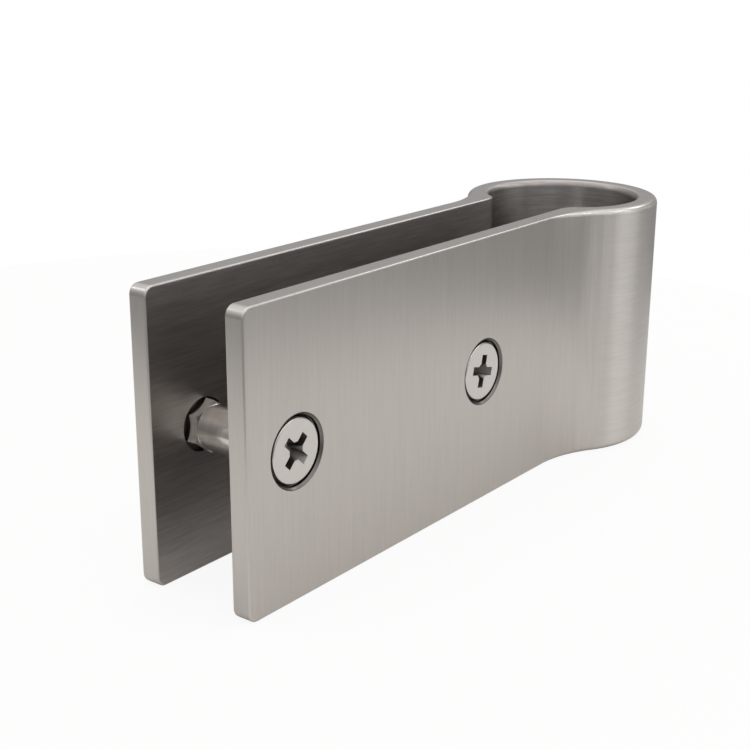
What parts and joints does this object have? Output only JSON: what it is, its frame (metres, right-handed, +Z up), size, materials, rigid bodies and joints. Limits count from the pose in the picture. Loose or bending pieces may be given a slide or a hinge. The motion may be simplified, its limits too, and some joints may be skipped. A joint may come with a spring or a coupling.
{
  "type": "shower screen bracket",
  "caption": "Bent stainless steel strip whose eye clamps round a rail tube and whose parallel plates hold a glass shower panel on screwed sleeves.",
  "frame": {"origin": "centre of the eye's bore, half way up the strip", "axes": "+X from the plates' free end towards the eye, -Y out of the plate that carries the screw heads, +Z up along the bore"},
  "size_m": [0.1078, 0.0326, 0.042],
  "materials": {
    "strip_steel": "satin, finely brushed across the strip",
    "screw_steel": "plain smooth satin",
    "sleeve_steel": "fine turned"
  },
  "bodies": {
    "root": {"bracket": "strip_steel", "free_end_screw": "screw_steel", "eye_side_screw": "screw_steel", "free_end_sleeve": "sleeve_steel", "eye_side_sleeve": "sleeve_steel"}
  },
  "joints": []
}
